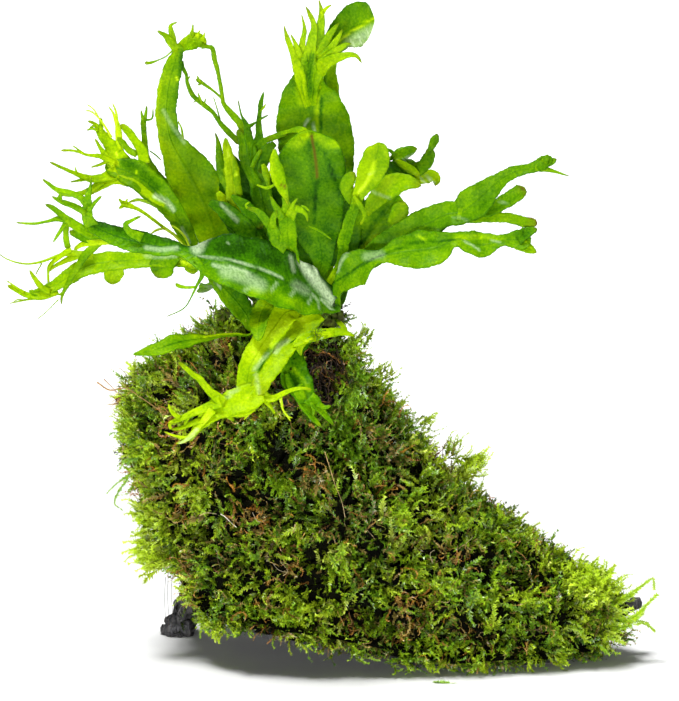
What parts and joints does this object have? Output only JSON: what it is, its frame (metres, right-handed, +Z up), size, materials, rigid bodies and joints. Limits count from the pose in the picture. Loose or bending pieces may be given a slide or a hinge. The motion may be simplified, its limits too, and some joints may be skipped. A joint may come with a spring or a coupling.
{
  "type": "java fern on driftwood",
  "caption": "Lace-tipped fern growing from a rhizome on top of a boot-shaped, moss-covered piece of dark driftwood that stands on its toe and heel.",
  "frame": {"origin": "on the surface that the wood stands on, at the middle of the whole in plan", "axes": "+X from the heel of the wood to its toe, +Y to the back, +Z up"},
  "size_m": [0.1921, 0.1067, 0.1981],
  "materials": {
    "wood": "dark, damp, matte driftwood with fine grain",
    "moss": "damp living moss, yellow-green tips over dark gaps",
    "roots": "dark brown fibres",
    "rhizome": "green-brown stem with scales",
    "frond_lime": "glossy young leaf, lime green",
    "frond_bright": "glossy leaf, bright yellow-green",
    "frond_mid": "glossy leaf, mid green",
    "frond_dark": "wet, dark green leaf"
  },
  "bodies": {
    "root": {"driftwood_trunk": "wood", "driftwood_toe": "wood", "driftwood_heel": "wood", "moss_coat": "moss", "fern_rhizome": "rhizome", "fern_roots": "roots", "fern_frond_left_tall": "frond_bright", "fern_frond_centre_forked": "frond_mid", "fern_frond_left_antler": "frond_bright", "fern_frond_left_spike": "frond_mid", "fern_frond_front_glossy": "frond_dark", "fern_frond_left_lower": "frond_bright", "fern_frond_centre_broad": "frond_bright", "fern_frond_top_broad": "frond_mid", "fern_frond_top_curl": "frond_mid", "fern_frond_right_curl": "frond_lime", "fern_frond_right_lobe": "frond_lime", "fern_frond_right_dark": "frond_dark", "fern_frond_right_long": "frond_bright", "fern_frond_right_low": "frond_mid", "fern_frond_down_bright": "frond_lime", "fern_frond_down_dark": "frond_mid", "fern_frond_down_left": "frond_bright", "fern_frond_low_left": "frond_mid", "fern_frond_on_moss": "frond_mid", "fern_frond_low_right": "frond_lime", "fern_frond_centre_small": "frond_mid", "fern_frond_centre_yellow": "frond_lime", "fern_frond_left_twig": "frond_mid", "fern_frond_back_left": "frond_mid", "fern_frond_back_centre": "frond_bright", "fern_frond_back_right": "frond_mid", "fern_frond_back_low": "frond_dark", "fern_frond_back_low_left": "frond_mid"}
  },
  "joints": []
}
